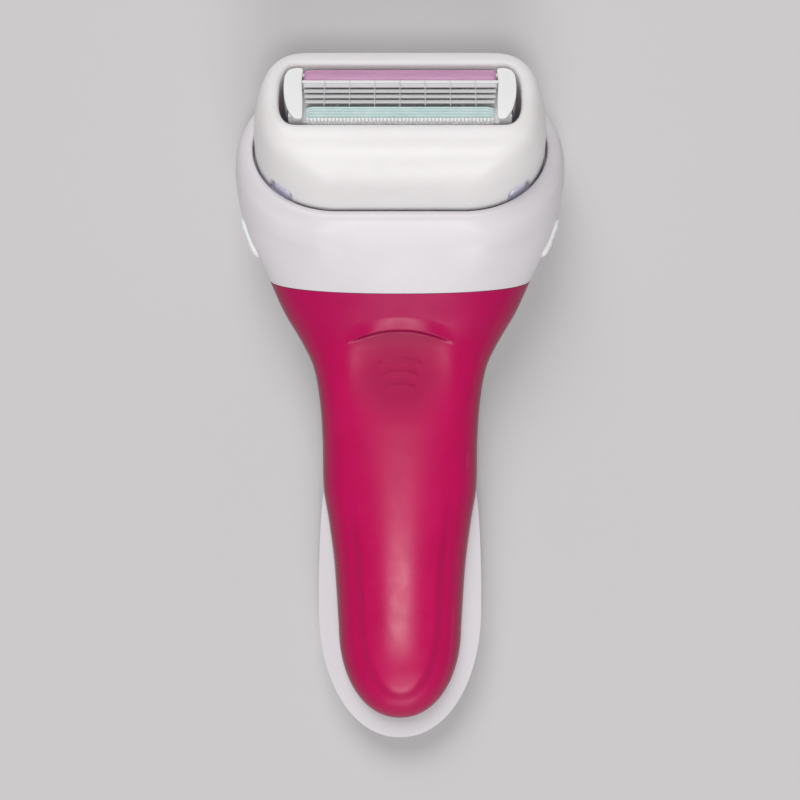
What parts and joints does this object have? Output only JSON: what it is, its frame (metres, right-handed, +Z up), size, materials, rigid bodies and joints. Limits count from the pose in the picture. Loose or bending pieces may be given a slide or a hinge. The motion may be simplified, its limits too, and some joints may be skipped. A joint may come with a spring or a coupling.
{
  "type": "cartridge razor",
  "caption": "Hand razor with a tapered pink and white handle, a flared white collar with side release buttons, and a pivoting blade unit set in a domed soap bar.",
  "frame": {"origin": "middle of the footprint on the surface the razor lies on, with its back down", "axes": "+X across the razor to the right as its face is seen with the head up, +Y along the handle from the tail to the head, +Z up out of the grip's face"},
  "size_m": [0.0594, 0.124, 0.033],
  "materials": {
    "grip_pink": "satin moulded plastic, deep pink",
    "shell_white": "smooth white moulded plastic",
    "button_white": "white moulded plastic with a faint cool tint",
    "tray_lavender": "pale lavender moulded plastic",
    "lather_bar": "smooth white soap",
    "unit_white": "milky white moulded plastic",
    "strip_purple": "soft purple glide strip",
    "guard_teal": "pale teal elastomer with fine ribs",
    "blade_steel": "ground stainless steel",
    "spring_steel": "drawn spring wire"
  },
  "bodies": {
    "handle": {"grip_shell": "grip_pink", "rear_shell": "shell_white", "collar": "shell_white", "head_chassis": "shell_white", "left_button_spring": "spring_steel", "right_button_spring": "spring_steel"},
    "left_button": {"left_button": "button_white"},
    "right_button": {"right_button": "button_white"},
    "cartridge": {"lather_bar": "lather_bar", "bar_tray": "tray_lavender", "left_carriage_spring": "spring_steel", "right_carriage_spring": "spring_steel"},
    "carriage": {"blade_carriage": "shell_white", "return_leaf": "spring_steel", "left_pivot_pin": "blade_steel", "right_pivot_pin": "blade_steel"},
    "blade_unit": {"blade_frame": "unit_white", "blade_1": "blade_steel", "blade_2": "blade_steel", "blade_3": "blade_steel", "blade_4": "blade_steel", "guard_strip": "guard_teal", "glide_strip": "strip_purple", "left_end_clip": "unit_white", "right_end_clip": "unit_white", "wire_1": "blade_steel", "wire_2": "blade_steel", "wire_3": "blade_steel", "wire_4": "blade_steel", "wire_5": "blade_steel", "wire_6": "blade_steel", "wire_7": "blade_steel"}
  },
  "joints": [
    {"name": "left_button_press", "type": "slide", "parent": "handle", "child": "left_button", "axis": [1, 0, 0], "range_m": [0, 0.002], "stiffness_N_per_m": 400, "springref_m": -0.001, "deforming": ["left_button_spring"]},
    {"name": "right_button_press", "type": "slide", "parent": "handle", "child": "right_button", "axis": [-1, 0, 0], "range_m": [0, 0.002], "stiffness_N_per_m": 400, "springref_m": -0.001, "deforming": ["right_button_spring"]},
    {"name": "cartridge_release", "type": "slide", "parent": "handle", "child": "cartridge", "axis": [0, 0.5878, 0.809], "range_m": [0, 0.018]},
    {"name": "carriage_sink", "type": "slide", "parent": "cartridge", "child": "carriage", "axis": [0, -0.5878, -0.809], "range_m": [0, 0.003], "stiffness_N_per_m": 200, "springref_m": -0.002, "deforming": ["left_carriage_spring", "right_carriage_spring"]},
    {"name": "blade_pivot", "type": "hinge", "parent": "carriage", "child": "blade_unit", "pos_m": [0, 0.05057, 0.02348], "axis": [1, 0, 0], "range_deg": [-10, 10], "stiffness_Nm_per_rad": 0.01, "deforming": ["return_leaf"]}
  ]
}
